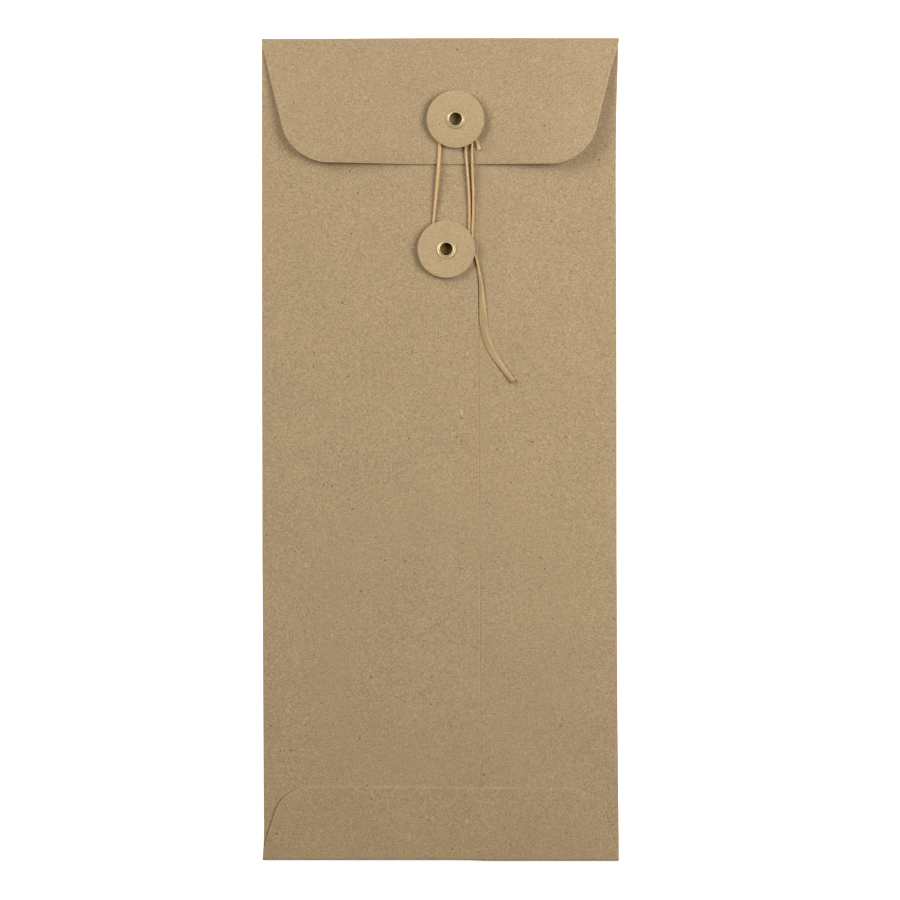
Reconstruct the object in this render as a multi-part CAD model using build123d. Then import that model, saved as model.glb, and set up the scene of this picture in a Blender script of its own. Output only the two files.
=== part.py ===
from build123d import *
import math
import os

# Envelope: policy size, lying on its address side, flap at +Y, millimetres
WIDTH = 104.8
HEIGHT = 241.3
PAPER = 0.2
GLUE = 0.05

# Closure flap and bottom flap, measured from the outside of their folds
FLAP_DEPTH = 37.05
FLAP_CORNER = 13.5
TUCK_DEPTH = 21.6
TUCK_CORNER = 10.0
SIDE_SLANT = 14.0

# Back panels: seam edge right of the centre line, lap width, and joggle
SEAM_X = 11.3
SEAM_LAP = 12.7
JOGGLE_START = 0.5
JOGGLE_RUN = 2.0
JOGGLE_BEND = 1.0
GLUE_INSET = 1.5

# Mouth: a throat cut in both back panels, rising in slanted shoulders to the ends of the top fold
MOUTH_DROP = 11.0
SHOULDER_RUN = 15.0
SHOULDER_GAP = 0.1
THROAT_CORNER = 6.0

# Buttons: fibre-paper discs, placed from the centre line and the top fold
BUTTON_D = 16.9
BUTTON_T = 0.8
BUTTON_EDGE = 0.15
FLAP_BUTTON_X = 4.45
FLAP_BUTTON_DROP = 24.0
BODY_BUTTON_X = 1.75
BODY_BUTTON_DROP = 62.0

# Eyelets: rolled rim on the button, clinched roll under the paper
EYELET_BORE = 3.6
EYELET_WALL = 0.25
RIM_D = 5.8
RIM_H = 0.38
RIM_ROLL = 0.33
RIM_FUNNEL = 0.5
CLINCH_D = 5.4
CLINCH_H = 0.4
CLINCH_ROLL = 0.3

# String: diameter, crushed end, knot, and the loops under the buttons
STRING_D = 0.9
END_W = 1.0
END_H = 0.5
KNOT_D = 1.44
KNOT_L = 1.8
KNOT_OFFSET = (2.5, -3.2)
UPPER_LOOP_R = 4.5
UPPER_LOOP_OFFSET = (0.4, -0.5)
LOWER_LOOP_R = 5.8
LOWER_LOOP_OFFSET = (1.25, 0.3)
STRAND_GAP = 0.35
TAIL_LIFT = 0.8

# The short end from the knot and the tail from the lower button, as seen from above
END_ROUTE = [(4.7, -4.5), (6.3, -6.1), (7.4, -8.7)]
TAIL_ROUTE = [(8.6, -3.4), (10.25, -11.2), (11.25, -19.4), (12.35, -25.6), (15.3, -32.4), (19.6, -38.7)]

# Fits
HOLE_FIT = 0.05
SPIN_FIT = 0.08
SLACK = 0.05
CLINCH_ROOM = 0.1

# Levels, from the table up
front_top = PAPER
lap_bottom = front_top + CLINCH_H + 2 * CLINCH_ROOM
lap_top = lap_bottom + PAPER
back_bottom = lap_top + GLUE
back_top = back_bottom + PAPER
tuck_bottom = back_top + GLUE
tuck_top = tuck_bottom + PAPER
flap_bottom = back_top + CLINCH_H + CLINCH_ROOM
flap_top = flap_bottom + PAPER

# Folds: half rounds from the front panel up to each level
side_r = back_top / 2
tuck_r = tuck_top / 2
flap_r = flap_top / 2
left = -WIDTH / 2
right = WIDTH / 2
top = HEIGHT / 2
bottom = -HEIGHT / 2
panel_left = left + side_r
panel_right = right - side_r
panel_bottom = bottom + tuck_r
hinge_y = top - flap_r
mouth_y = top - MOUTH_DROP
shoulder_y = hinge_y - SHOULDER_GAP
flap_edge = top - FLAP_DEPTH
tuck_edge = bottom + TUCK_DEPTH
lap_x = SEAM_X - SEAM_LAP

# Eyelet and button positions
upper = Vector(FLAP_BUTTON_X, top - FLAP_BUTTON_DROP)
lower = Vector(BODY_BUTTON_X, top - BODY_BUTTON_DROP)
bore_r = EYELET_BORE / 2
barrel_r = bore_r + EYELET_WALL
hole_r = barrel_r + HOLE_FIT
upper_seat = flap_top + END_H + STRING_D + 3 * SLACK
lower_seat = back_top + STRING_D + 2 * SLACK


def area(x0, x1, y0, y1):
    return Pos((x0 + x1) / 2, (y0 + y1) / 2) * Rectangle(x1 - x0, y1 - y0)


def punched(outline, centre):
    return outline - Pos(centre) * Circle(hole_r)


def sheet(outline, level, thickness=PAPER):
    return extrude(Pos(0, 0, level) * outline, thickness)


def tongue(fold_y, edge_y, corner):
    # a flap's outline: full width at its fold, slanted sides, round corners
    inset = abs(edge_y - fold_y) * math.tan(math.radians(SIDE_SLANT))
    outline = make_face(
        Polyline(
            (left, fold_y),
            (right, fold_y),
            (right - inset, edge_y),
            (left + inset, edge_y),
            close=True,
        )
    )
    return fillet(outline.vertices().sort_by_distance((0, edge_y))[:2], corner)


def throat():
    # the open area above the mouth's edge, as wide as the back panels at its top
    outline = make_face(
        Polyline(
            (panel_left, shoulder_y),
            (panel_right, shoulder_y),
            (panel_right - SHOULDER_RUN, mouth_y),
            (panel_left + SHOULDER_RUN, mouth_y),
            close=True,
        )
    )
    return fillet(outline.vertices().sort_by_distance((0, mouth_y))[:2], THROAT_CORNER)


def fold(radius, length, middle, outward):
    # a crease as a half-round strip of paper, open towards the envelope
    section = Circle(radius) - Circle(radius - PAPER)
    section &= Pos(radius / 2, 0) * Rectangle(radius, 2 * radius)
    strip = extrude(section, length / 2, both=True)
    frame = Plane(middle, x_dir=outward, z_dir=Vector(outward).cross(Vector(0, 0, 1)))
    return frame * strip


def eyelet(centre, seat, button_top):
    # a spool: rolled rim on the button, barrel, clinched roll under the paper
    rim_top = button_top + RIM_H
    clinch_bottom = seat - CLINCH_H
    rim_r = RIM_D / 2
    clinch_r = CLINCH_D / 2
    profile = make_face(
        Polyline(
            (bore_r, clinch_bottom),
            (clinch_r, clinch_bottom),
            (clinch_r, seat),
            (barrel_r, seat),
            (barrel_r, button_top),
            (rim_r, button_top),
            (rim_r, rim_top),
            (bore_r, rim_top),
            close=True,
        )
    )
    profile = fillet(profile.vertices().sort_by_distance((rim_r, rim_top))[0], RIM_ROLL)
    profile = fillet(profile.vertices().sort_by_distance((bore_r, rim_top))[0], RIM_FUNNEL)
    profile = fillet(profile.vertices().sort_by_distance((clinch_r, clinch_bottom))[0], CLINCH_ROLL)
    profile = fillet(profile.vertices().sort_by_distance((bore_r, clinch_bottom))[0], CLINCH_ROLL)
    return Pos(centre) * revolve(Plane.XZ * profile, Axis.Z)


def button(centre, seat):
    disc = Cylinder(BUTTON_D / 2, BUTTON_T, align=(Align.CENTER, Align.CENTER, Align.MIN))
    disc = fillet(disc.edges(), BUTTON_EDGE)
    disc -= Cylinder(barrel_r + SPIN_FIT, 3 * BUTTON_T)
    return Pos(centre.X, centre.Y, seat) * disc


def bend_radii(points):
    radii = []
    for before, corner, after in zip(points, points[1:], points[2:]):
        turn = math.radians((corner - before).get_angle(after - corner))
        run = min((corner - before).length, (after - corner).length)
        radii.append(0.45 * run / math.tan(turn / 2))
    return radii


def string_path(points):
    return FilletPolyline(*points, radius=bend_radii(points))


def string_tube(name, points):
    path = string_path(points)
    section = Plane(path @ 0, z_dir=path % 0) * Circle(STRING_D / 2)
    tube = sweep(section, path=path)
    share = tube.volume / (path.length * math.pi * STRING_D**2 / 4)
    print(name, "length", round(path.length, 1), "volume share", round(share, 4))
    print(name, "bend radii", [round(r, 1) for r in bend_radii(points)])
    return tube


def least_gap(path, step, apart):
    # the least room between stretches of one string that are a way apart along it
    count = int(path.length / step)
    dots = [path.position_at(i / count) for i in range(count + 1)]
    skip = int(apart / step)
    pairs = ((dots[i] - dots[j]).length for i in range(count + 1) for j in range(i + skip, count + 1))
    return min(pairs) - STRING_D


def half_loop(centre, radius, side):
    # corners of three equal bends round a button's eyelet, left to right
    corner = radius / math.cos(math.radians(30))
    angles = [math.radians(a) for a in (150, 90, 30)]
    return [centre + Vector(corner * math.cos(a), side * corner * math.sin(a)) for a in angles]


def along(start, end, y):
    return start + (end - start) * ((y - start.Y) / (end.Y - start.Y))


def at(point, z):
    return Vector(point.X, point.Y, z)


# Paper: front panel, side folds, and the two back panels that lap at the seam
front_panel = sheet(area(panel_left, panel_right, panel_bottom, hinge_y), 0)
side_length = shoulder_y - panel_bottom
side_middle = (shoulder_y + panel_bottom) / 2
mouth = throat()
left_fold = fold(side_r, side_length, (panel_left, side_middle, side_r), (-1, 0, 0))
right_fold = fold(side_r, side_length, (panel_right, side_middle, side_r), (1, 0, 0))
left_area = area(panel_left, SEAM_X, panel_bottom, shoulder_y) - mouth
left_back_panel = sheet(punched(left_area, lower), back_bottom)

# The right panel steps down in one joggle to pass under the left one
joggle_x = SEAM_X + JOGGLE_START
under_line = FilletPolyline(
    (panel_right, back_bottom),
    (joggle_x + JOGGLE_RUN, back_bottom),
    (joggle_x, lap_bottom),
    (lap_x, lap_bottom),
    radius=JOGGLE_BEND,
)
over_line = Pos(0, PAPER) * under_line
end_lines = [Line(under_line @ 0, over_line @ 0), Line(under_line @ 1, over_line @ 1)]
joggle_section = make_face([under_line.edges(), over_line.edges(), end_lines])
right_back_panel = extrude(Plane.XZ.offset(-side_middle) * joggle_section, side_length / 2, both=True)
right_back_panel -= Pos(lower) * Cylinder(hole_r, 2 * tuck_top)
right_back_panel -= extrude(mouth, 2 * tuck_top)

# Glue in the lap, inset from its edges
lap_area = area(lap_x + GLUE_INSET, SEAM_X - GLUE_INSET, panel_bottom, mouth_y - GLUE_INSET)
seam_glue = sheet(punched(lap_area, lower), lap_top, GLUE)

# Bottom flap, glued over both back panels
bottom_fold = fold(tuck_r, WIDTH, (0, panel_bottom, tuck_r), (0, -1, 0))
tuck_outline = tongue(panel_bottom, tuck_edge, TUCK_CORNER)
bottom_flap = sheet(tuck_outline, tuck_bottom)
bottom_glue = sheet(offset(tuck_outline, -GLUE_INSET), back_top, GLUE)

# Closure flap and the fold it turns on
top_fold = fold(flap_r, WIDTH, (0, hinge_y, flap_r), (0, 1, 0))
closure_flap = sheet(punched(tongue(hinge_y, flap_edge, FLAP_CORNER), upper), flap_bottom)

# Buttons under the rolled rims of their eyelets
flap_button = button(upper, upper_seat)
flap_eyelet = eyelet(upper, flap_bottom, upper_seat + BUTTON_T + SLACK)
body_button = button(lower, lower_seat)
body_eyelet = eyelet(lower, lap_bottom, lower_seat + BUTTON_T + SLACK)

# String levels: on the back panels, over the flap's edge, and over the crushed end
string_r = STRING_D / 2
low_z = back_top + SLACK + string_r
edge_z = flap_top + 2 * SLACK + string_r
over_z = flap_top + END_H + 2 * SLACK + string_r
knot_z = flap_top + SLACK + KNOT_D / 2

# String stretches between the buttons, as seen from above
upper_loop = upper + Vector(*UPPER_LOOP_OFFSET)
lower_loop = lower + Vector(*LOWER_LOOP_OFFSET)
knot = upper + Vector(*KNOT_OFFSET)
first_foot = lower_loop + Vector(LOWER_LOOP_R, 0)
rise_foot = lower_loop - Vector(LOWER_LOOP_R, 0)
rise_head = upper_loop - Vector(UPPER_LOOP_R, 0)
last_head = upper_loop + Vector(UPPER_LOOP_R, 0)
last_foot = first_foot + Vector(STRING_D + STRAND_GAP, 0)
edge_y = flap_edge - STRING_D / 2
rim_y = lower.Y + BUTTON_D / 2
cross_y = upper.Y - BUTTON_D / 2 + STRING_D

# Knot: a barrel on the line of the stretch that leaves it
knot_at = at(knot, knot_z)
first_edge = at(along(knot, first_foot, edge_y), edge_z)
knot_axis = (first_edge - knot_at).normalized()
knot_face = knot_at + knot_axis * (KNOT_L / 2)
knot_half = make_face(
    [
        Line((0, -KNOT_L / 2), (string_r, -KNOT_L / 2)),
        ThreePointArc((string_r, -KNOT_L / 2), (KNOT_D / 2, 0), (string_r, KNOT_L / 2)),
        Line((string_r, KNOT_L / 2), (0, KNOT_L / 2)),
        Line((0, KNOT_L / 2), (0, -KNOT_L / 2)),
    ]
)
knot_body = Plane(knot_at, z_dir=knot_axis) * revolve(Plane.XZ * knot_half, Axis.Z)

# Loop tied round the upper barrel: two tangent legs from the knot that meet behind it
loop_r = barrel_r + SLACK + string_r
loop_z = flap_top + SLACK + string_r
reach = (knot - upper).length
leg = math.degrees(math.acos(loop_r / reach))
legs = []
for side in (1, -1):
    touch = Vector(loop_r, 0).rotate(Axis.Z, side * leg)
    flank = Vector(loop_r, 0).rotate(Axis.Z, side * (leg + 180) / 2)
    back = Vector(-loop_r, 0)
    leg_path = Wire([Line((reach, 0), touch).edge(), ThreePointArc(touch, flank, back).edge()])
    leg_section = Plane(leg_path @ 0, z_dir=leg_path % 0) * Circle(string_r)
    legs.append(sweep(leg_section, path=leg_path))
towards_knot = Plane((upper.X, upper.Y, loop_z), x_dir=knot - upper, z_dir=(0, 0, 1))

# Short end: crushed flat where the winding passes over it
end_z = flap_top + SLACK + END_H / 2
end_points = [at(knot, end_z)] + [at(upper + Vector(*p), end_z) for p in END_ROUTE]
end_path = string_path(end_points)
end_section = Plane(end_path @ 0, x_dir=(0, 0, 1), z_dir=end_path % 0) * SlotOverall(END_W, END_H, rotation=90)
string_end = sweep(end_section, path=end_path)
string_anchor = knot_body + towards_knot * legs[0] + towards_knot * legs[1] + string_end

# Winding: down from the knot, round the lower eyelet, up, round the upper one, and down
turn_down = [at(p, low_z) for p in reversed(half_loop(lower_loop, LOWER_LOOP_R, -1))]
turn_up = half_loop(upper_loop, UPPER_LOOP_R, 1)
climb = (over_z - edge_z) / len(turn_up)
turn_up = [at(p, edge_z + climb * (i + 1)) for i, p in enumerate(turn_up)]
winding_points = [knot_face, first_edge, at(along(knot, first_foot, rim_y), low_z)]
winding_points += turn_down
winding_points += [
    at(along(rise_foot, rise_head, rim_y), low_z),
    at(along(rise_foot, rise_head, edge_y), edge_z),
]
winding_points += turn_up
winding_points += [
    at(along(last_head, last_foot, cross_y), over_z),
    at(along(last_head, last_foot, edge_y), edge_z),
    at(along(last_head, last_foot, rim_y), low_z),
    at(last_foot, low_z),
]
string_winding = string_tube("winding", winding_points)
print("winding self-gap", round(least_gap(string_path(winding_points), STRING_D / 3, 8 * STRING_D), 2))

# Tail: lies on the envelope, its cut end a little lifted
tail_low = [at(lower + Vector(*p), low_z) for p in TAIL_ROUTE[:-2]]
tail_rise = at(lower + Vector(*TAIL_ROUTE[-2]), low_z + TAIL_LIFT / 4)
tail_end = at(lower + Vector(*TAIL_ROUTE[-1]), low_z + TAIL_LIFT)
tail_points = [winding_points[-1]] + tail_low + [tail_rise, tail_end]
string_tail = string_tube("tail", tail_points)

# One file for each piece
pieces = {
    "front_panel": front_panel,
    "left_fold": left_fold,
    "right_fold": right_fold,
    "left_back_panel": left_back_panel,
    "right_back_panel": right_back_panel,
    "seam_glue": seam_glue,
    "bottom_fold": bottom_fold,
    "bottom_flap": bottom_flap,
    "bottom_glue": bottom_glue,
    "top_fold": top_fold,
    "closure_flap": closure_flap,
    "flap_button": flap_button,
    "flap_eyelet": flap_eyelet,
    "body_button": body_button,
    "body_eyelet": body_eyelet,
    "string_anchor": string_anchor,
    "string_winding": string_winding,
    "string_tail": string_tail,
}
os.makedirs("parts", exist_ok=True)
for name, piece in pieces.items():
    export_step(piece, f"parts/{name}.step")
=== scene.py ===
import math
import bmesh
import bpy
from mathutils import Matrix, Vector, noise


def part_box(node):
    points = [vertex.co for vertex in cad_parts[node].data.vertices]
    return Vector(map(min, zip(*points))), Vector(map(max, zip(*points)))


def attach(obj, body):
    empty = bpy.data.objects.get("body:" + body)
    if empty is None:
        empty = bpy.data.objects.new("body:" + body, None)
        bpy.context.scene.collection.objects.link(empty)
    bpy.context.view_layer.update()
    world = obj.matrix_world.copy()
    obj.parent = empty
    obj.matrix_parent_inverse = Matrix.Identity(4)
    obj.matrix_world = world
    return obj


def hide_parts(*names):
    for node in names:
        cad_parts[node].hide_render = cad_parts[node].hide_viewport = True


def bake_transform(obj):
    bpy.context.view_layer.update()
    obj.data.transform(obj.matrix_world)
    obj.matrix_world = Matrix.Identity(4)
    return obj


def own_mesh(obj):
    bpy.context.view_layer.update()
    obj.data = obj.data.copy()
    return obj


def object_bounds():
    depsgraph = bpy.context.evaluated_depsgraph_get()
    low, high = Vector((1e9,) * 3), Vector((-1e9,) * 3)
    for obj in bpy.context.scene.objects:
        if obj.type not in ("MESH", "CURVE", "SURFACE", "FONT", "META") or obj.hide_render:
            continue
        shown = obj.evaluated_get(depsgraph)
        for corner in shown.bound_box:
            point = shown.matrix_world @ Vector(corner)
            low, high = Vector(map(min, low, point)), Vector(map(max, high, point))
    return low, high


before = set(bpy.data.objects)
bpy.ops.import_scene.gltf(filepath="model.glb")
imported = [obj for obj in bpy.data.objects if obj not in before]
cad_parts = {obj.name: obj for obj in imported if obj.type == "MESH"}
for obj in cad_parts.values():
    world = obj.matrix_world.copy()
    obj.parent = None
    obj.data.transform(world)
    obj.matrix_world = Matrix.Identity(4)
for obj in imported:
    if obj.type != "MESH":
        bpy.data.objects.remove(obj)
cad_low, cad_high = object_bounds()


# Kraft: the recycled brown paper that the blank is cut from. Short fibres lie both ways in it, with
# specks of bark, dark hairs and a few pale flecks. Its cut edges are paler, partly as a painted
# highlight, and worn in places, with painted highlights and a painted shadow along some of them. Where it
# shows through an eyelet it has painted shade.
def new_paint(name, roughness, sheen):
    # a new material, with the tree and the shader that its patterns are joined to
    material = bpy.data.materials.new(name)
    material.use_nodes = True
    tree = material.node_tree
    shader = tree.nodes["Principled BSDF"]
    shader.inputs["Specular IOR Level"].default_value = sheen
    shader.inputs["Roughness"].default_value = roughness
    return material, tree, shader


def spot(tree, space="Object", stretch=(1, 1, 1), turn=0, lean=0):
    # the place on the piece that a pattern reads, stretched along its grain, turned, and leant over so
    # that a flat pattern also runs down the folds
    source = tree.nodes.new("ShaderNodeTexCoord")
    mapping = tree.nodes.new("ShaderNodeMapping")
    mapping.inputs["Scale"].default_value = stretch
    mapping.inputs["Rotation"].default_value = (lean, lean, turn)
    tree.links.new(source.outputs[space], mapping.inputs["Vector"])
    return mapping.outputs["Vector"]


def axes(tree, place):
    # a place's X, Y and Z, each by itself
    apart = tree.nodes.new("ShaderNodeSeparateXYZ")
    tree.links.new(place, apart.inputs["Vector"])
    return apart.outputs


def grain(tree, place, scale, detail=2):
    # a cloudy pattern, finer as its scale grows
    pattern = tree.nodes.new("ShaderNodeTexNoise")
    pattern.inputs["Scale"].default_value = scale
    pattern.inputs["Detail"].default_value = detail
    tree.links.new(place, pattern.inputs["Vector"])
    return pattern.outputs["Fac"]


def span(tree, value, start, end, low, high):
    # turns a pattern's values from start to end into low to high
    mapped = tree.nodes.new("ShaderNodeMapRange")
    for name, number in (("From Min", start), ("From Max", end), ("To Min", low), ("To Max", high)):
        mapped.inputs[name].default_value = number
    tree.links.new(value, mapped.inputs["Value"])
    return mapped.outputs["Result"]


def rises(tree, value, start, end):
    # a mask: nothing at start, whole at end
    return span(tree, value, start, end, 0, 1)


def reckon(tree, operation, first, second):
    # one pattern worked out from two
    result = tree.nodes.new("ShaderNodeMath")
    result.operation = operation
    tree.links.new(first, result.inputs[0])
    tree.links.new(second, result.inputs[1])
    return result.outputs["Value"]


def times(tree, first, second):
    # the product of two patterns, which for two masks is where they meet
    return reckon(tree, "MULTIPLY", first, second)


grain_low = 0.3
grain_high = 0.7


def varied(tree, *patterns):
    # a number that each grain in turn swings between its low and its high
    number = None
    for pattern, low, high in patterns:
        swing = span(tree, pattern, grain_low, grain_high, low, high)
        number = swing if number is None else times(tree, number, swing)
    return number


def shaded(tree, colour, amount):
    # a colour, plain or already patterned, made lighter and darker by a pattern round one
    scaled = tree.nodes.new("ShaderNodeVectorMath")
    scaled.operation = "SCALE"
    if isinstance(colour, tuple):
        scaled.inputs[0].default_value = colour
    else:
        tree.links.new(colour, scaled.inputs[0])
    tree.links.new(amount, scaled.inputs["Scale"])
    return scaled.outputs["Vector"]


def covered(tree, under, over, mask):
    # one colour over another where the mask says
    mixed = tree.nodes.new("ShaderNodeMix")
    mixed.data_type = "RGBA"
    mixed.inputs["B"].default_value = (*over, 1)
    tree.links.new(mask, mixed.inputs["Factor"])
    tree.links.new(under, mixed.inputs["A"])
    return mixed.outputs["Result"]


def specks(tree, place, spacing, share, size, strength):
    # scattered dots: a share of a pattern's cells hold one, of any radius and strength up to those given
    faintest = strength / 4
    cells = tree.nodes.new("ShaderNodeTexVoronoi")
    cells.voronoi_dimensions = "2D"
    cells.inputs["Scale"].default_value = 1 / spacing
    tree.links.new(place, cells.inputs["Vector"])
    chance = tree.nodes.new("ShaderNodeSeparateColor")
    tree.links.new(cells.outputs["Color"], chance.inputs["Color"])
    reach = span(tree, chance.outputs["Red"], 1 - share, 1, 0, size / spacing)
    inside = reckon(tree, "LESS_THAN", cells.outputs["Distance"], reach)
    return times(tree, inside, span(tree, chance.outputs["Green"], 0, 1, faintest, strength))


def within(tree, place, centre, reach, solid):
    # a round spot, seen from above, that is whole as far as solid and fades out at its reach
    off = tree.nodes.new("ShaderNodeVectorMath")
    off.operation = "DISTANCE"
    off.inputs[1].default_value = (centre.x, centre.y, 0)
    tree.links.new(place, off.inputs[0])
    return rises(tree, off.outputs["Value"], reach, solid)


def roughen(tree, shader, height, depth):
    # a fine relief on the surface
    bump = tree.nodes.new("ShaderNodeBump")
    bump.inputs["Distance"].default_value = depth
    tree.links.new(height, bump.inputs["Height"])
    tree.links.new(bump.outputs["Normal"], shader.inputs["Normal"])


kraft_colour = (0.347, 0.254, 0.1462)
bark_colour = (0.085, 0.05, 0.03)
pale_fibre_colour = (0.60, 0.48, 0.34)
mottle_scale = 2700
cloud_scale = 55
upright_stretch = (4400, 1000, 1000)
level_stretch = (900, 3800, 1000)
speck_lean = math.radians(35)
hair_turn = math.radians(25)
other_hair_turn = math.radians(12)
inner_face = (0.0001, 0.00015)
kraft_tooth = 0.00003
kraft, tree, shader = new_paint("kraft", roughness=0.86, sheen=0.2)
everywhere = spot(tree)
mottle = grain(tree, everywhere, mottle_scale)
upright_fibres = grain(tree, spot(tree, stretch=upright_stretch), 1)
level_fibres = grain(tree, spot(tree, stretch=level_stretch), 1)
clouds = grain(tree, everywhere, cloud_scale)
tone = varied(
    tree,
    (mottle, 0.76, 1.24),
    (upright_fibres, 0.90, 1.10),
    (level_fibres, 0.91, 1.09),
    (clouds, 0.975, 1.025),
)
colour = shaded(tree, kraft_colour, tone)
strewn = spot(tree, lean=speck_lean)
hairs_one_way = spot(tree, stretch=(1, 0.2, 1), turn=hair_turn, lean=speck_lean)
hairs_other_way = spot(tree, stretch=(0.22, 1, 1), turn=other_hair_turn, lean=speck_lean)
flecks = spot(tree, stretch=(1, 0.4, 1), lean=speck_lean)
for scatter, speck_colour, spacing, share, size, strength in (
    (strewn, bark_colour, 0.0029, 0.22, 0.00028, 0.75),
    (hairs_one_way, bark_colour, 0.0027, 0.09, 0.00013, 0.9),
    (hairs_other_way, bark_colour, 0.0029, 0.08, 0.00013, 0.9),
    (flecks, pale_fibre_colour, 0.0036, 0.10, 0.00028, 0.5),
):
    colour = covered(tree, colour, speck_colour, specks(tree, scatter, spacing, share, size, strength))
off_the_table = rises(tree, axes(tree, everywhere)["Z"], *inner_face)
for node, painted_bore_shade, reach, solid in (
    ("flap_eyelet", (0.334, 0.243, 0.113), 0.0026, 0.0012),
    ("body_eyelet", (0.245, 0.168, 0.071), 0.0022, 0.00198),
):
    # painted shade on the paper that shows through an eyelet, but not on the address side
    eyelet_low, eyelet_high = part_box(node)
    bore = within(tree, spot(tree, stretch=(1, 1, 0)), (eyelet_low + eyelet_high) / 2, reach, solid)
    colour = covered(tree, colour, painted_bore_shade, times(tree, bore, off_the_table))
tree.links.new(colour, shader.inputs["Base Color"])
roughen(tree, shader, reckon(tree, "ADD", mottle, upright_fibres), kraft_tooth)

# The paper's cut edges, in a material of their own, paler than the sheet, partly as a painted highlight.
# Painted highlights brighten some stretches and a painted shadow darkens one. Each pair of places says
# where a stretch of edge starts and where it is whole, along the envelope or across it.
kraft_edge_colour = (0.41, 0.30, 0.18)
# painted highlight colours for the edges, then a painted shadow colour
top_highlight_edge_colour = (0.47, 0.345, 0.21)
highlight_edge_colour = (0.62, 0.42, 0.23)
shadow_edge_colour = (0.09, 0.04, 0.016)
fuzz_scale = 2500
wear_scale = 90
wear_range = (0.4, 0.6)
seam_along = (-0.095, -0.0945)
seam_from_left = (0.008, 0.0085)
seam_from_right = (0.015, 0.0145)
flap_along = (0.07, 0.075)
bottom_along = (-0.095, -0.097)
bottom_pressed = (0.015, 0.03)
bottom_right = (0.045, 0.047)
bottom_left = (-0.036, -0.046)
kraft_edge, tree, shader = new_paint("kraft_edge", roughness=0.9, sheen=0.15)
fuzz = grain(tree, spot(tree), fuzz_scale, 3)
wear = grain(tree, spot(tree), wear_scale)
tone = times(tree, varied(tree, (fuzz, 0.82, 1.15)), span(tree, wear, *wear_range, 0.85, 1.15))
colour = shaded(tree, kraft_edge_colour, tone)
whereabouts = axes(tree, spot(tree))
across = whereabouts["X"]
along = whereabouts["Y"]
on_the_seam = times(tree, rises(tree, along, *seam_along), rises(tree, across, *seam_from_left))
on_the_seam = times(tree, on_the_seam, rises(tree, across, *seam_from_right))
at_the_bottom = rises(tree, along, *bottom_along)
for edge_colour, stretch in (
    # painted highlight along the seam's edge
    (highlight_edge_colour, on_the_seam),
    # painted highlight along the edges near the top, the flap's among them
    (top_highlight_edge_colour, rises(tree, along, *flap_along)),
    (kraft_colour, times(tree, at_the_bottom, rises(tree, across, *bottom_pressed))),
    # painted highlight along the bottom flap's right side
    (highlight_edge_colour, times(tree, at_the_bottom, rises(tree, across, *bottom_right))),
    # painted shadow along the bottom flap's left side
    (shadow_edge_colour, times(tree, at_the_bottom, rises(tree, across, *bottom_left))),
):
    colour = covered(tree, colour, edge_colour, stretch)
tree.links.new(colour, shader.inputs["Base Color"])

# The pocket: the blank's sides fold over and lap at the seam, the right back panel under the left
# one, and its bottom flap folds up over both and is glued down. A throat in both makes the mouth.
front_low, front_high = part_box("front_panel")
left_low, left_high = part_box("left_back_panel")
right_low, right_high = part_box("right_back_panel")
tuck_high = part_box("bottom_flap")[1]
body_eyelet_low, body_eyelet_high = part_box("body_eyelet")
paper = front_high.z - front_low.z
front_level = front_low.z + paper / 2
back_level = left_high.z - paper / 2
lap_level = right_low.z + paper / 2
tuck_level = tuck_high.z - paper / 2
joggle_start = 0.0002
joggle_run = 0.0045
joggle_bend = 0.001
joggle_steps = 4
side_slant = math.radians(14)
tuck_corner = 0.010
eyelet_hole = 0.0042
mouth_drop = 0.011
shoulder_run = 0.015
throat_bend = 0.0018
throat_steps = 8
crease_steps = 12
crease_squareness = 3.5
corner_steps = 16
hole_sides = 64
sheet_spacing = 0.004
worn_edge = 0.00009
worn_steps = 2
facing_up = 0.7
smooth_under = math.radians(40)
nearly = 1e-6
same_place = 1e-8


def flat_sheet(name, low, high, level):
    # a sheet as one face, its place in its mesh, left open for shaping
    bpy.ops.object.select_all(action="DESELECT")
    middle = (low + high) / 2
    bpy.ops.mesh.primitive_plane_add(size=1, location=(middle.x, middle.y, level))
    sheet = bpy.context.object
    sheet.name = name
    sheet.scale = (high.x - low.x, high.y - low.y, 1)
    bpy.ops.object.transform_apply(location=True, rotation=True, scale=True)
    sheet.data.materials.append(kraft)
    sheet.data.materials.append(kraft_edge)
    bpy.ops.object.mode_set(mode="EDIT")
    return sheet


def pick(piece, kind, wanted):
    # selects the points, edges or faces whose middle answers to wanted
    bpy.ops.mesh.select_mode(type=kind)
    bpy.ops.mesh.select_all(action="DESELECT")
    shape = bmesh.from_edit_mesh(piece.data)
    if kind == "VERT":
        found = [v for v in shape.verts if wanted(v.co)]
    elif kind == "EDGE":
        found = [e for e in shape.edges if wanted((e.verts[0].co + e.verts[1].co) / 2)]
    else:
        found = [f for f in shape.faces if wanted(f.calc_center_median())]
    for item in found:
        item.select_set(True)
    bmesh.update_edit_mesh(piece.data)


def pull(x=0, y=0, z=0):
    # draws new paper out of what is selected
    bpy.ops.mesh.extrude_region_move(TRANSFORM_OT_translate={"value": (x, y, z)})


def crease(centre, axis):
    # folds new paper half way round from the selected edge
    bpy.ops.mesh.spin(steps=crease_steps, angle=math.pi, center=centre, axis=axis)


def pressed(out, up):
    # a point of a round crease, moved to where the folding press leaves it: flatter, with tight bends
    size = math.hypot(out, up)
    squared = []
    for part in (out / size, up / size):
        squared.append(math.copysign(size * abs(part) ** (2 / crease_squareness), part))
    return squared


def slice_up(spacing, low, high, axis):
    # cuts every face along even lines, so that the sheet can bend
    count = round((high[axis] - low[axis]) / spacing)
    direction = [0, 0, 0]
    direction[axis] = 1
    for step in range(1, count):
        place = [0, 0, 0]
        place[axis] = low[axis] + (high[axis] - low[axis]) * step / count
        bpy.ops.mesh.select_all(action="SELECT")
        bpy.ops.mesh.bisect(plane_co=place, plane_no=direction, threshold=same_place)


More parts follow.
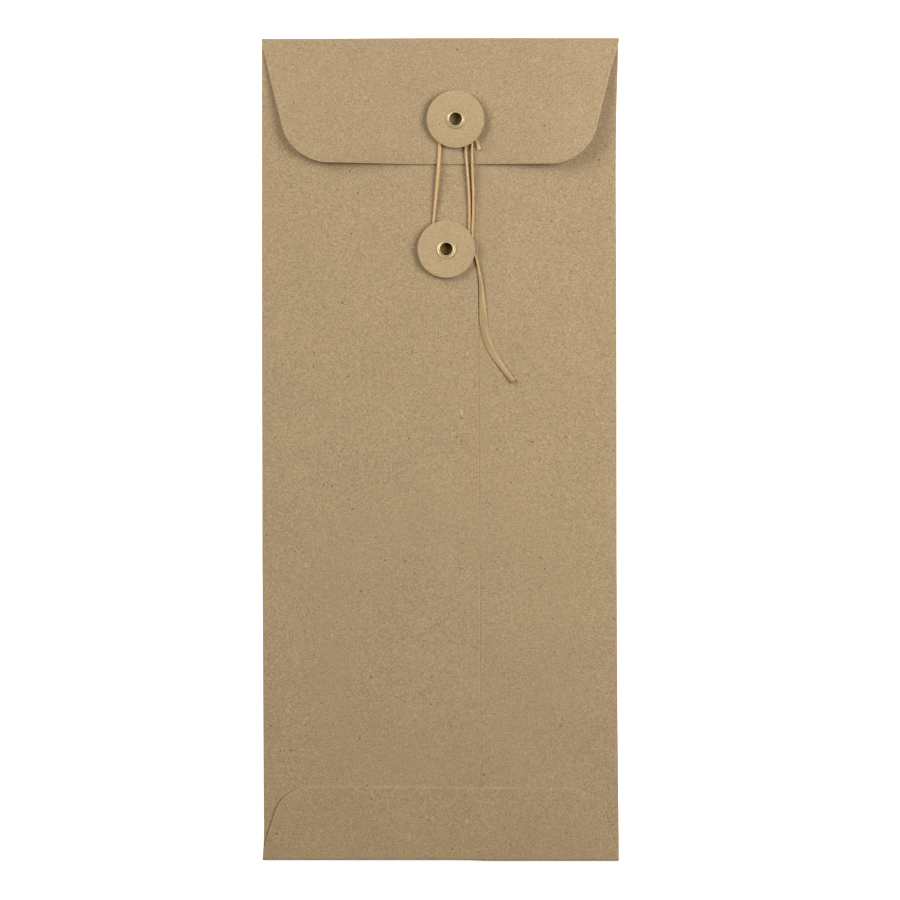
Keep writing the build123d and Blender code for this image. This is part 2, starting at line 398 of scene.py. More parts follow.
def trim_tongue(piece, fold_y, edge_y, half_width, level, corner):
    # slants a flap's two sides and rounds its two free corners
    out = math.copysign(1, edge_y - fold_y)
    for side in (-1, 1):
        pick(piece, "FACE", lambda p: abs(p.z - level) < nearly and (p.y - fold_y) * out > 0)
        bpy.ops.mesh.bisect(
            plane_co=(side * half_width, fold_y, level),
            plane_no=(side * math.cos(side_slant), out * math.sin(side_slant), 0),
            clear_outer=True,
            threshold=same_place,
        )
    pick(piece, "VERT", lambda p: abs(p.z - level) < nearly and abs(p.y - edge_y) < nearly)
    reach = corner / math.tan((math.pi / 2 + side_slant) / 2)
    bpy.ops.mesh.bevel(offset=reach, segments=corner_steps, profile=0.5, affect="VERTICES")


def face_outwards():
    # turns every face of a piece outwards and ends its shaping
    bpy.ops.mesh.select_all(action="SELECT")
    bpy.ops.mesh.normals_make_consistent(inside=False)
    bpy.ops.object.mode_set(mode="OBJECT")


def thicken(piece, thickness, worn):
    # gives a sheet its thickness, with its cut edges in the second material and their upper corner worn
    face_outwards()
    solid = piece.modifiers.new("thickness", "SOLIDIFY")
    solid.thickness = thickness
    solid.offset = 0
    solid.use_even_offset = True
    solid.material_offset_rim = 1
    bpy.ops.object.modifier_apply(modifier=solid.name)
    bpy.ops.object.mode_set(mode="EDIT")
    bpy.ops.mesh.select_mode(type="EDGE")
    bpy.ops.mesh.select_all(action="DESELECT")
    shape = bmesh.from_edit_mesh(piece.data)
    for edge in shape.edges:
        sides = {face.material_index: face.normal.z for face in edge.link_faces}
        if len(sides) == 2 and sides[0] > facing_up:
            edge.select_set(True)
    bmesh.update_edit_mesh(piece.data)
    bpy.ops.mesh.bevel(offset=worn, segments=worn_steps, affect="EDGES", material=1)
    bpy.ops.object.mode_set(mode="OBJECT")


def cut_away(piece, cutter):
    # takes a solid out of a sheet and leaves the cut in the second material
    for side in cutter.data.polygons:
        side.material_index = 1
    bpy.ops.object.select_all(action="DESELECT")
    bpy.context.view_layer.objects.active = piece
    piece.select_set(True)
    cut = piece.modifiers.new("cut", "BOOLEAN")
    cut.operation = "DIFFERENCE"
    cut.object = cutter
    bpy.ops.object.modifier_apply(modifier=cut.name)
    bpy.data.objects.remove(cutter, do_unlink=True)
    bpy.ops.object.shade_smooth_by_angle(angle=smooth_under)


def punch(piece, centre, diameter, low, high):
    # cuts a round hole between two levels
    bpy.ops.object.select_all(action="DESELECT")
    bpy.ops.mesh.primitive_cylinder_add(
        vertices=hole_sides,
        radius=diameter / 2,
        depth=high - low,
        location=(centre.x, centre.y, (low + high) / 2),
    )
    cut_away(piece, bpy.context.object)


def ease(value, start, end):
    # a share that goes smoothly from nothing at start to one at end
    share = min(1, max(0, (value - start) / (end - start)))
    return share * share * (3 - 2 * share)


def drawn(edge, place):
    # how far an edge stands in at a place, between the two points of its list on either side
    for (before, first), (after, last) in zip(edge, edge[1:]):
        if place >= after:
            return first + (last - first) * min(1, max(0, (before - place) / (before - after)))
    return edge[-1][1]


side_middle = (front_level + back_level) / 2
tuck_middle = (front_level + tuck_level) / 2
pocket = flat_sheet("pocket", left_low, left_high, back_level)
pick(pocket, "EDGE", lambda p: abs(p.x - front_low.x) < nearly)
crease((front_low.x, 0, side_middle), (0, 1, 0))
pull(x=front_high.x - front_low.x)
crease((front_high.x, 0, side_middle), (0, 1, 0))
joggle_x = left_high.x + joggle_start
pull(x=joggle_x + joggle_run - front_high.x)
pull(x=-joggle_run, z=lap_level - back_level)
pull(x=right_low.x - joggle_x)
pick(pocket, "EDGE", lambda p: abs(p.x - joggle_x) < nearly or abs(p.x - joggle_x - joggle_run) < nearly)
bpy.ops.mesh.bevel(offset=joggle_bend, segments=joggle_steps, affect="EDGES")
pick(pocket, "EDGE", lambda p: abs(p.z - front_level) < nearly and abs(p.y - left_high.y) < nearly)
pull(y=front_high.y - left_high.y)
pick(pocket, "EDGE", lambda p: abs(p.z - front_level) < nearly and abs(p.y - front_low.y) < nearly)
crease((0, front_low.y, tuck_middle), (1, 0, 0))
pull(y=tuck_high.y - front_low.y)
pick(pocket, "VERT", lambda p: p.y < front_low.y - nearly or p.z > tuck_level - nearly)
bpy.ops.transform.resize(value=(tuck_high.x / front_high.x, 1, 1), center_override=(0, 0, 0))
trim_tongue(pocket, front_low.y, tuck_high.y, tuck_high.x, tuck_level, tuck_corner)
slice_up(sheet_spacing, front_low, front_high, 0)
slice_up(sheet_spacing, front_low, front_high, 1)

# The pocket's paper isn't quite flat or square: pressed creases, a slight swell low down, sides that
# draw in between the folded ends, and a bottom flap whose left side the glue misses. A pair of places
# says where a change starts and where it is whole, and a list how far an edge stands in or out along it.
swell = 0.0003
swell_start = (0.012, -0.045)
swell_below = 0.02
swell_above = 0.03
ripple = 0.00008
ripple_length = 0.035
ripple_start = (0.015, -0.01)
left_in = (
    (0.12, 0),
    (0.04, 0.00005),
    (-0.03, 0.00018),
    (-0.08, 0.00046),
    (-0.114, 0.00064),
    (-0.1205, 0.0003),
)
right_in = (
    (0.12, 0.0001),
    (0.114, 0.0003),
    (0.102, 0.00068),
    (0.087, 0.00088),
    (0.073, 0.00088),
    (0.055, 0.0008),
    (0.038, 0.00072),
    (-0.03, 0.00066),
    (-0.08, 0.0004),
    (-0.11, 0.0001),
    (-0.1205, 0),
)
bottom_in = 0.00025
bottom_in_across = (0.014, 0.006)
bottom_in_rise = 0.004
seam_lift = 0.00005
seam_lift_across = (0.006, 0)
seam_lift_along = (-0.02, 0.03)
seam_lean = 0.0055
seam_lean_across = (0.030, 0.006)
seam_middle = 0.0125
tuck_left_lift = 0.00028
tuck_left_loose = (-0.034, -0.046)
tuck_left_slope = (0.001, 0.009)
tuck_right_lift = 0.0001
tuck_right_loose = (0.042, 0.048)
tuck_right_slope = (0.001, 0.006)
tuck_rise = 0.00015
tuck_lean = 0.0086
tuck_lean_along = (0.010, 0.0208)
tuck_side_across = (0.015, 0.045)
tuck_left_out = (
    (0.0209, -0.0005),
    (0.0196, -0.0006),
    (0.0170, 0),
    (0.0095, 0.0004),
    (0.0054, 0.0011),
    (0, 0),
)
tuck_right_out = (
    (0.0185, -0.0014),
    (0.0160, -0.0009),
    (0.0093, -0.0004),
    (0.0035, -0.0002),
    (0, 0),
)
shape = bmesh.from_edit_mesh(pocket.data)
for point in shape.verts:
    place = point.co
    on_tuck = place.z > tuck_level - nearly
    if abs(place.x) > front_high.x + nearly and place.y > front_low.y - nearly and not on_tuck:
        out, up = pressed(abs(place.x) - front_high.x, place.z - side_middle)
        place.x = math.copysign(front_high.x + out, place.x)
        place.z = side_middle + up
    if place.y < front_low.y - nearly:
        out, up = pressed(front_low.y - place.y, place.z - tuck_middle)
        place.y = front_low.y - out
        place.z = tuck_middle + up
    if on_tuck:
        off_fold = place.y - front_low.y
        place.z += tuck_left_lift * ease(place.x, *tuck_left_loose) * ease(off_fold, *tuck_left_slope)
        place.z += tuck_right_lift * ease(place.x, *tuck_right_loose) * ease(off_fold, *tuck_right_slope)
        place.x -= drawn(tuck_left_out, off_fold) * ease(-place.x, *tuck_side_across)
        place.x += drawn(tuck_right_out, off_fold) * ease(place.x, *tuck_side_across)
        place.y += (tuck_rise - tuck_lean * place.x) * ease(off_fold, *tuck_lean_along)
    elif place.z > side_middle:
        from_seam = abs(place.x - left_high.x)
        if abs(place.z - back_level) < nearly and place.x < left_high.x + nearly:
            place.z += seam_lift * ease(from_seam, *seam_lift_across) * ease(place.y, *seam_lift_along)
        place.x -= seam_lean * (place.y - seam_middle) * ease(from_seam, *seam_lean_across)
    if place.z > side_middle:
        inside = max(0, 1 - (place.x / front_high.x) ** 2)
        above_tuck = ease(place.y, tuck_high.y - swell_below, tuck_high.y + swell_above)
        free = ease(place.y, *swell_start) * above_tuck
        bump = noise.noise(Vector((place.x, place.y, 0)) / ripple_length)
        place.z += inside * (swell * free + ripple * (1 + bump) * ease(place.y, *ripple_start))
    place.x -= drawn(right_in, place.y) * ease(place.x, 0, front_high.x)
    place.x += drawn(left_in, place.y) * ease(-place.x, 0, front_high.x)
    at_fold = ease(place.y, front_low.y + bottom_in_rise, front_low.y)
    place.y += bottom_in * ease(place.x, *bottom_in_across) * at_fold
bmesh.update_edit_mesh(pocket.data)
thicken(pocket, paper, worn_edge)
lower = (body_eyelet_low + body_eyelet_high) / 2
punch(pocket, lower, eyelet_hole, side_middle, tuck_high.z)
mouth_y = cad_high.y - mouth_drop
throat_low = Vector((left_low.x + shoulder_run, mouth_y, 0))
throat_high = Vector((right_high.x - shoulder_run, left_high.y, 0))
throat = flat_sheet("throat", throat_low, throat_high, side_middle)
pick(throat, "VERT", lambda p: p.y > throat_high.y - nearly)
bpy.ops.transform.resize(value=(left_low.x / throat_low.x, 1, 1), center_override=(0, 0, 0))
pick(throat, "VERT", lambda p: p.y < mouth_y + nearly)
bpy.ops.mesh.bevel(offset=throat_bend, segments=throat_steps, profile=0.5, affect="VERTICES")
pick(throat, "FACE", lambda p: True)
pull(z=2 * (back_level - side_middle))
face_outwards()
cut_away(pocket, throat)
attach(pocket, "envelope")
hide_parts("front_panel", "left_fold", "right_fold", "left_back_panel", "right_back_panel")
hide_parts("bottom_fold", "bottom_flap")

# Glue: two thin dry films, in the seam's lap and under the bottom flap, which hold the pocket
# together. Only their edges could ever be seen.
glue_colour = (0.62, 0.56, 0.44)
glue_scale = 700
glue, tree, shader = new_paint("dry_glue", roughness=0.4, sheen=0.5)
film = grain(tree, spot(tree), glue_scale)
colour = shaded(tree, glue_colour, varied(tree, (film, 0.9, 1.1)))
tree.links.new(colour, shader.inputs["Base Color"])
for name in ("seam_glue", "bottom_glue"):
    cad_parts[name].data.materials.clear()
    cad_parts[name].data.materials.append(glue)

# The closure flap: the blank's top end, creased over the mouth, with slanted sides and round
# corners. The string holds its middle down, and its corners spring up.
flap_low, flap_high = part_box("closure_flap")
flap_eyelet_low, flap_eyelet_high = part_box("flap_eyelet")
upper = (flap_eyelet_low + flap_eyelet_high) / 2
flap_level = flap_low.z + paper / 2
flap_middle = (front_level + flap_level) / 2
flap_corner = 0.0135
flap_worn_edge = 0.00014
flap_spacing_across = 0.0025
flap_spacing_down = 0.002
flap_lean = 0.00027
flap_narrower = 0.003
flap_narrow_by = 0.25
left_spring = 0.0035
left_held = 0.005
left_bow = 1.1
left_curl = 1.3
right_spring = 0.0051
right_held = 0.004
right_bow = 0.7
right_curl = 0.9
left_rise = 0.0004
left_rise_across = (-0.005, -0.036)
left_rise_curl = 3
fold_in = 0.00022
fold_in_from = 0.01
flap = flat_sheet("flap_paper", flap_low, flap_high, flap_level)
trim_tongue(flap, flap_high.y, flap_low.y, flap_high.x, flap_level, flap_corner)
pick(flap, "EDGE", lambda p: abs(p.y - flap_high.y) < nearly)
crease((0, flap_high.y, flap_middle), (1, 0, 0))
slice_up(flap_spacing_across, flap_low, flap_high, 0)
slice_up(flap_spacing_down, flap_low, flap_high, 1)
shape = bmesh.from_edit_mesh(flap.data)
for point in shape.verts:
    place = point.co
    if place.y > flap_high.y + nearly:
        out, up = pressed(place.y - flap_high.y, place.z - flap_middle)
        place.y = flap_high.y + out - fold_in * ease(place.x, fold_in_from, flap_low.x)
        place.z = flap_middle + up
    if place.y < flap_high.y - nearly:
        from_button = abs(place.x - upper.x)
        down = (flap_high.y - place.y) / (flap_high.y - flap_low.y)
        if place.x < upper.x:
            loose = ease(from_button, left_held, flap_high.x) ** left_bow
            place.z += left_spring * loose * down**left_curl
        else:
            loose = ease(from_button, right_held, flap_high.x) ** right_bow
            place.z += right_spring * loose * down**right_curl
        place.y += left_rise * ease(place.x, *left_rise_across) * down**left_rise_curl
        place.x -= (flap_lean + flap_narrower * place.x) * ease(down, 0, flap_narrow_by)
bmesh.update_edit_mesh(flap.data)
thicken(flap, paper, flap_worn_edge)
punch(flap, upper, eyelet_hole, flap_low.z - paper, flap_high.z + paper)
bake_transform(flap)
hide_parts("top_fold", "closure_flap")

# The buttons: two die-cut discs of pressed fibre board, each free to turn under its eyelet's rim.
# The eyelet presses a shallow dish in the middle, and the die leaves a soft edge.
bore_room = 0.00426
disc_sides = 144
disc_edge = 0.00014
disc_edge_steps = 4
disc_rings = (0.0019, 0.0019, 0.0013, 0.0008)
disc_dish = 0.00006
disc_burr = 0.00003
disc_burr_length = 0.0006
disc_warp = 0.0003
disc_droop = 0.0003
# shares of a disc's radius
disc_dish_reach = 0.6
disc_droop_start = 0.62
disc_droop_end = 1.1


def fibre_disc(name, node, body, raised, droop):
    # raised: the way, from the middle, in which the board has warped up; droop: how far its rim hangs
    low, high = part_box(node)
    centre = (low + high) / 2
    radius = (high.x - low.x) / 2
    bpy.ops.object.select_all(action="DESELECT")
    bpy.ops.mesh.primitive_cylinder_add(
        vertices=disc_sides, radius=radius, depth=high.z - low.z, location=centre
    )
    bpy.ops.object.transform_apply(location=True, rotation=True, scale=True)
    disc = bpy.context.object
    disc.name = name
    bpy.ops.object.mode_set(mode="EDIT")
    pick(disc, "EDGE", lambda p: abs(p.z - low.z) < nearly or abs(p.z - high.z) < nearly)
    bpy.ops.mesh.bevel(offset=disc_edge, segments=disc_edge_steps, affect="EDGES")
    pick(disc, "FACE", lambda p: (p - centre).xy.length < nearly)
    to_the_bore = radius - disc_edge - bore_room / 2
    for ring in (*disc_rings, to_the_bore - sum(disc_rings)):
        bpy.ops.mesh.inset(thickness=ring)
    bpy.ops.mesh.bridge_edge_loops()
    shape = bmesh.from_edit_mesh(disc.data)
    for point in shape.verts:
        out = (point.co - centre).xy
        warped = ease(out.length, bore_room, radius) * max(0, out.dot(raised)) / radius
        hung = ease(out.length, radius * disc_droop_start, radius * disc_droop_end)
        if point.co.z > centre.z:
            point.co.z -= disc_dish * ease(out.length, radius * disc_dish_reach, bore_room / 2)
        if out.length > radius - 2 * disc_edge:
            burr = disc_burr * noise.noise(point.co / disc_burr_length)
            point.co.xy += out.normalized() * burr
        point.co.z += disc_warp * warped - droop * hung
    bmesh.update_edit_mesh(disc.data)
    face_outwards()
    bpy.ops.object.shade_smooth_by_angle(angle=smooth_under)
    disc.data.materials.append(fibre_board)
    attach(disc, body)
    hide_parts(node)


board_colour = (0.39, 0.279, 0.153)
board_speck_colour = (0.16, 0.10, 0.05)
board_scale = 1900
felt_stretch = (3200, 1100, 1100)
board_tooth = 0.00003
fibre_board, tree, shader = new_paint("fibre_board", roughness=0.72, sheen=0.25)
everywhere = spot(tree)
mottle = grain(tree, everywhere, board_scale, 3)
felt = grain(tree, spot(tree, stretch=felt_stretch), 1)
colour = shaded(tree, board_colour, varied(tree, (mottle, 0.85, 1.15), (felt, 0.94, 1.06)))
marks = specks(tree, everywhere, spacing=0.0034, share=0.2, size=0.00028, strength=0.9)
colour = covered(tree, colour, board_speck_colour, marks)
tree.links.new(colour, shader.inputs["Base Color"])
roughen(tree, shader, reckon(tree, "ADD", mottle, felt), board_tooth)
fibre_disc("flap_button_board", "flap_button", "flap_button_disc", Vector((1, 0)), droop=disc_droop)
fibre_disc("body_button_board", "body_button", "body_button_disc", Vector((-0.9, -0.44)), droop=0)

# The eyelets: drawn brass tubes, their upper ends rolled into a rim over the disc, their lower
# ends clinched under the paper. Rubbed pale on the rim's top, with a painted highlight there, and dark
# with oxide down the bore.
eyelet_bore = 0.0036
eyelet_wall = 0.00025
clinch_width = 0.0054
clinch_height = 0.0004
clinch_round = 0.0001
clinch_lift = 0.00018
clinch_foot = 0.0003
flare_out = 0.00015
flare_lift = 0.00004
flare_top = 0.0003
rim_height = 0.00038
rim_round = 0.0001
lip_in = 0.00022
groove_out = 0.00062
groove_in = 0.00050
groove_lift = 0.00012
crest_foot = 0.00014
crest_out = 0.00022
crest_in = 0.00006
crest_fall = 0.0001
bore_fall = 0.0004
snug = 0.00004
turn_steps = 72
merge_under = 1e-7
rounding_levels = 2
oxide_down = (0.0001, 0.0006)
# where the rubbed brass with its painted highlight begins and is whole, above the rim's foot
worn_highlight_from = 0.00014
worn_highlight_whole = 0.00024


def brass_eyelet(name, node, body, lip):
    # lip: how high the rim's outer edge stands over the disc
    low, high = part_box(node)
    axis = (low + high) / 2
    rim = (high.x - low.x) / 2
    bore = eyelet_bore / 2
    barrel = bore + eyelet_wall
    clinch = clinch_width / 2
    foot = high.z - rim_height
    seat = low.z + clinch_height
    profile = [
        (barrel, foot - snug),
        (barrel, foot),
        (barrel + snug, foot),
        (rim - rim_round, foot),
        (rim, foot + lip / 2),
        (rim - lip_in, foot + lip),
        (bore + groove_out, foot + groove_lift),
        (bore + groove_in, foot + crest_foot),
        (bore + crest_out, high.z),
        (bore + crest_in, high.z - crest_fall),
        (bore, high.z - bore_fall),
        (bore, low.z + flare_top),
        (bore + flare_out, low.z + flare_lift),
        (clinch - clinch_foot, low.z),
        (clinch, low.z + clinch_lift),
        (clinch - clinch_round, seat),
        (barrel + snug, seat),
        (barrel, seat),
        (barrel, seat + snug),
    ]
    bpy.ops.object.select_all(action="DESELECT")
    bpy.ops.mesh.primitive_plane_add(size=eyelet_wall)
    eyelet = bpy.context.object
    eyelet.name = name
    bpy.ops.object.mode_set(mode="EDIT")
    bpy.ops.mesh.select_mode(type="VERT")
    bpy.ops.mesh.merge(type="CENTER")
    corners = [Vector((axis.x + out, axis.y, level)) for out, level in profile]
    bpy.ops.transform.translate(value=corners[0])
    for before, after in zip(corners, corners[1:]):
        bpy.ops.mesh.extrude_vertices_move(TRANSFORM_OT_translate={"value": after - before})
    pick(eyelet, "VERT", lambda p: (p - corners[0]).length < nearly or (p - corners[-1]).length < nearly)
    bpy.ops.mesh.edge_face_add()
    bpy.ops.mesh.select_all(action="SELECT")
    bpy.ops.mesh.spin(steps=turn_steps, angle=2 * math.pi, center=axis, axis=(0, 0, 1))
    bpy.ops.mesh.select_all(action="SELECT")
    bpy.ops.mesh.remove_doubles(threshold=merge_under)
    face_outwards()
    rounding = eyelet.modifiers.new("rounding", "SUBSURF")
    rounding.levels = rounding.render_levels = rounding_levels
    bpy.ops.object.modifier_apply(modifier=rounding.name)
    bpy.ops.object.shade_smooth()
    oxide = eyelet.data.attributes.new("oxide", "FLOAT", "POINT")
    for point, mark in zip(eyelet.data.vertices, oxide.data):
        inside = (point.co - axis).xy.length < barrel
        mark.value = ease(high.z - point.co.z, *oxide_down) if inside else 0
    # the rim's top, rubbed and with a painted highlight
    worn_highlight = eyelet.data.attributes.new("worn_highlight", "FLOAT", "POINT")
    for point, mark in zip(eyelet.data.vertices, worn_highlight.data):
        mark.value = ease(point.co.z, foot + worn_highlight_from, foot + worn_highlight_whole)
    eyelet.data.materials.append(brass)
    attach(eyelet, body)
    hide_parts(node)


def marked(tree, name):
    # how strong a mark left on the mesh is
    mark = tree.nodes.new("ShaderNodeAttribute")
    mark.attribute_name = name
    return mark.outputs["Fac"]


brass_colour = (0.43, 0.335, 0.16)
# rubbed brass with a painted highlight, for the rim's top
worn_highlight_brass_colour = (0.59, 0.48, 0.26)
oxide_colour = (0.23, 0.155, 0.05)
brass_metallic = 0.35
tarnish_scale = 1400
oxide_spots = (0.6, 0.8)
oxide_spot_strength = 0.3
brass, tree, shader = new_paint("brass", roughness=0.4, sheen=0.5)
shader.inputs["Metallic"].default_value = brass_metallic
tarnish = grain(tree, spot(tree), tarnish_scale, 3)
colour = shaded(tree, brass_colour, varied(tree, (tarnish, 0.90, 1.06)))
# painted highlight, with rubbed brass, on the rim's top
colour = covered(tree, colour, worn_highlight_brass_colour, marked(tree, "worn_highlight"))
colour = covered(tree, colour, oxide_colour, span(tree, tarnish, *oxide_spots, 0, oxide_spot_strength))
colour = covered(tree, colour, oxide_colour, marked(tree, "oxide"))
tree.links.new(colour, shader.inputs["Base Color"])
tree.links.new(varied(tree, (tarnish, 0.32, 0.44)), shader.inputs["Roughness"])
brass_eyelet("flap_eyelet_brass", "flap_eyelet", "flap", lip=0.00016)
brass_eyelet("body_eyelet_brass", "body_eyelet", "envelope", lip=0.00026)

# The string: one waxed cotton string, tied round the upper eyelet, wound down round the lower
# one, up and round the upper one again, and down to a free end that lies on the pocket.
string_width = 0.0009
winding_route = [
    (7.00, 92.55, 2.70),
    (7.78, 83.15, 2.50),
    (8.44, 75.50, 2.02),
    (8.57, 67.10, 1.75),
    (8.05, 55.60, 1.75),
    (3.00, 52.25, 1.75),
    (-2.85, 55.60, 1.75),
    (-1.98, 67.10, 1.75),
    (-0.42, 83.15, 2.50),
    (0.35, 98.75, 2.67),
    (4.85, 101.35, 2.83),
    (9.20, 98.75, 3.00),
    (9.22, 92.00, 2.97),
    (9.27, 87.60, 2.52),
    (9.39, 82.50, 2.45),
    (9.74, 73.00, 1.92),
    (9.52, 66.00, 1.75),
    (9.17, 58.95, 1.75),
]
tail_route = [
    (10.75, 55.70, 1.75),
    (11.90, 49.40, 1.64),
    (12.35, 43.60, 1.42),
    (12.55, 37.90, 1.33),
    (13.60, 31.90, 1.28),
    (16.60, 26.10, 1.46),
    (21.38, 19.95, 1.95),
]
millimetres = 1000
route_order = 3
route_steps = 40
string_lobes = 3
string_lay = 0.005
string_sides = 18
lobe_depth = 0.05
slack_wider = 0.35
slack_opens = (0.31, 0.45)
slack_closes = (0.47, 0.52)
tail_wider = 1.8
tail_flatter = 0.78
crush_start = (0.79, 0.90)
crush_end = (0.93, 0.985)
crush_less = 0.45
tail_tip_half = 0.4
fray_count = 9
fray_length = 0.7
fray_uneven = 0.35
fray_apart = 3.7
fray_row = (1.3, 0.4)
fray_root = 0.3
fray_knee = 0.6
fray_lift = 0.1
fray_width = 0.00009
fray_spread = math.radians(28)


def followed(name, route):
    # the points along a smooth line through a route given in millimetres
    curve = bpy.data.curves.new(name, "CURVE")
    curve.dimensions = "3D"
    line = curve.splines.new("NURBS")
    line.points.add(len(route) - 1)
    for knot, place in zip(line.points, route):
        knot.co = (*(Vector(place) / millimetres), 1)
    line.order_u = route_order
    line.use_endpoint_u = True
    line.resolution_u = route_steps
    holder = bpy.data.objects.new(name, curve)
    bpy.context.scene.collection.objects.link(holder)
    points = [v.co.copy() for v in bpy.data.meshes.new_from_object(holder).vertices]
    bpy.data.objects.remove(holder, do_unlink=True)
    return points


def wrap(shape, points, width_at, height_at):
    # a closed skin along the points, as wide and high as asked, with the string's lay in it
    uv = shape.loops.layers.uv.verify()
    rings = []
    gone = [0]
    for before, after in zip(points, points[1:]):
        gone.append(gone[-1] + (after - before).length)
    for number, place in enumerate(points):
        ahead = points[min(number + 1, len(points) - 1)] - points[max(number - 1, 0)]
        side = ahead.cross(Vector((0, 0, 1))).normalized()
        up = side.cross(ahead).normalized()
        share = gone[number] / gone[-1]
        ring = []
        for step in range(string_sides):
            turn = 2 * math.pi * step / string_sides
            lay = string_lobes * (turn - 2 * math.pi * gone[number] / string_lay)
            full = 1 - lobe_depth + lobe_depth * math.cos(lay)
            across = side * (math.cos(turn) * width_at(share) / 2 * full)
            above = up * (math.sin(turn) * height_at(share) / 2 * full)
            ring.append(shape.verts.new(place + across + above))
        rings.append(ring)
    for number, (ring, after) in enumerate(zip(rings, rings[1:])):
        for step in range(string_sides):
            beside = (step + 1) % string_sides
            face = shape.faces.new((ring[step], ring[beside], after[beside], after[step]))
            face.smooth = True
            corners = ((step, number), (step + 1, number), (step + 1, number + 1), (step, number + 1))
            for loop, (round_step, at) in zip(face.loops, corners):
                loop[uv].uv = (round_step / string_sides, gone[at] / string_width)
    shape.faces.new(list(reversed(rings[0])))
    shape.faces.new(rings[-1])


def fray(shape, route, half_width):
    # short fibres, in millimetres, that fan out from the cut end of a route
    tip = Vector(route[-1])
    along = (tip - Vector(route[-2])).normalized()
    across = along.cross(Vector((0, 0, 1)))
    for number in range(fray_count):
        share = 2 * number / (fray_count - 1) - 1
        fan = along * math.cos(share * fray_spread) + across * math.sin(share * fray_spread)
        uneven = noise.noise(Vector((number * fray_apart, *fray_row)))
        reach = fray_length * (1 - fray_uneven + fray_uneven * uneven)
        start = tip - along * fray_root + across * share * half_width
        knee = start + fan * reach * fray_knee
        end = start + fan * reach + Vector((0, 0, fray_lift))
        fibre = followed("fibre", [tuple(start), tuple(knee), tuple(end)])
        wrap(shape, fibre, lambda share: fray_width, lambda share: fray_width)


def string_piece(name, shape):
    # the finished skins as one piece of string
    bmesh.ops.recalc_face_normals(shape, faces=shape.faces)
    mesh = bpy.data.meshes.new(name)
    shape.to_mesh(mesh)
    shape.free()
    piece = bpy.data.objects.new(name, mesh)
    bpy.context.scene.collection.objects.link(piece)
    piece.data.materials.append(waxed_cotton)
    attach(piece, "flap")
    return piece


# The string's wax and fibres: its pattern runs with the string, round it in turns (a quarter turn is the
# top) and along it in string widths. Its sides have painted shade. The tail is duller, with painted shade
# on one side past its bend and a painted highlight along its top.
waxed_colour = (0.53, 0.345, 0.16)
# painted shade colour for the string's sides
string_side_shade_colour = (0.36, 0.185, 0.07)
string_dark_colour = (0.26, 0.13, 0.05)
tail_colour = (0.34, 0.233, 0.112)
# painted highlight colour along the tail's top
tail_highlight_colour = (0.405, 0.268, 0.127)
# painted shade colour for the tail's one side past its bend
tail_shade_colour = (0.295, 0.195, 0.088)
fibre_stretch = (9, 0.12, 1)
patch_stretch = (1.5, 0.08, 1)
quarter_turn = 0.25
side_turn = (0.04, 0.18)
side_strength = 0.85
tail_along = (157, 166)
bend_along = (189, 196)
bend_strength = 0.8
shade_turn = (0.26, 0.12)
tail_highlight_from = (0.26, 0.31)
tail_highlight_to = (0.39, 0.33)
dark_fibres = (0.36, 0.26)
dark_strength = 0.5
wax_relief = 0.00006
waxed_cotton, tree, shader = new_paint("waxed_cotton", roughness=0.45, sheen=0.45)
fibres = grain(tree, spot(tree, "UV", fibre_stretch), 1, 3)
patches = grain(tree, spot(tree, "UV", patch_stretch), 1)
on_the_string = axes(tree, spot(tree, "UV"))
turn_round = on_the_string["X"]
widths_along = on_the_string["Y"]
from_side = tree.nodes.new("ShaderNodeMath")
from_side.operation = "PINGPONG"
from_side.inputs[1].default_value = quarter_turn
tree.links.new(turn_round, from_side.inputs[0])
# painted shade on the string's sides
shaded_sides = span(tree, from_side.outputs["Value"], *side_turn, side_strength, 0)
on_the_tail = rises(tree, widths_along, *tail_along)
# past the bend, the tail's one side gets painted shade
past_the_bend = span(tree, widths_along, *bend_along, 0, bend_strength)
# a painted highlight along the tail's top
tail_highlight_line = times(tree, rises(tree, turn_round, *tail_highlight_from), rises(tree, turn_round, *tail_highlight_to))
colour = shaded(tree, waxed_colour, varied(tree, (patches, 0.97, 1.03)))
# painted shade on the sides, the tail's own colour, painted shade on its one side, a painted highlight on
# top
for cover_colour, mask in (
    (string_side_shade_colour, shaded_sides),
    (tail_colour, on_the_tail),
    (tail_shade_colour, times(tree, past_the_bend, rises(tree, turn_round, *shade_turn))),
    (tail_highlight_colour, times(tree, tail_highlight_line, on_the_tail)),
):
    colour = covered(tree, colour, cover_colour, mask)
colour = shaded(tree, colour, varied(tree, (fibres, 0.84, 1.16), (patches, 0.9, 1.1)))
colour = covered(tree, colour, string_dark_colour, span(tree, fibres, *dark_fibres, 0, dark_strength))
tree.links.new(colour, shader.inputs["Base Color"])
tree.links.new(varied(tree, (patches, 0.36, 0.55)), shader.inputs["Roughness"])
roughen(tree, shader, fibres, wax_relief)


def crushed(share):
    # how much of the tail's flattening is there, at a share of the string's length
    return ease(share, *crush_start) * (1 - crush_less * ease(share, *crush_end))


def slack(share):
    # how much of the left strand's loosening is there: its twist opens where it goes under the upper disc
    return ease(share, *slack_opens) * (1 - ease(share, *slack_closes))


string_line = followed("string_route", winding_route + tail_route)
shape = bmesh.new()
wrap(
    shape,
    string_line,
    lambda share: string_width * (1 + tail_wider * crushed(share) + slack_wider * slack(share)),
    lambda share: string_width * (1 - tail_flatter * crushed(share)),
)
fray(shape, tail_route, tail_tip_half)
string = string_piece("string_wound", shape)
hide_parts("string_winding", "string_tail")

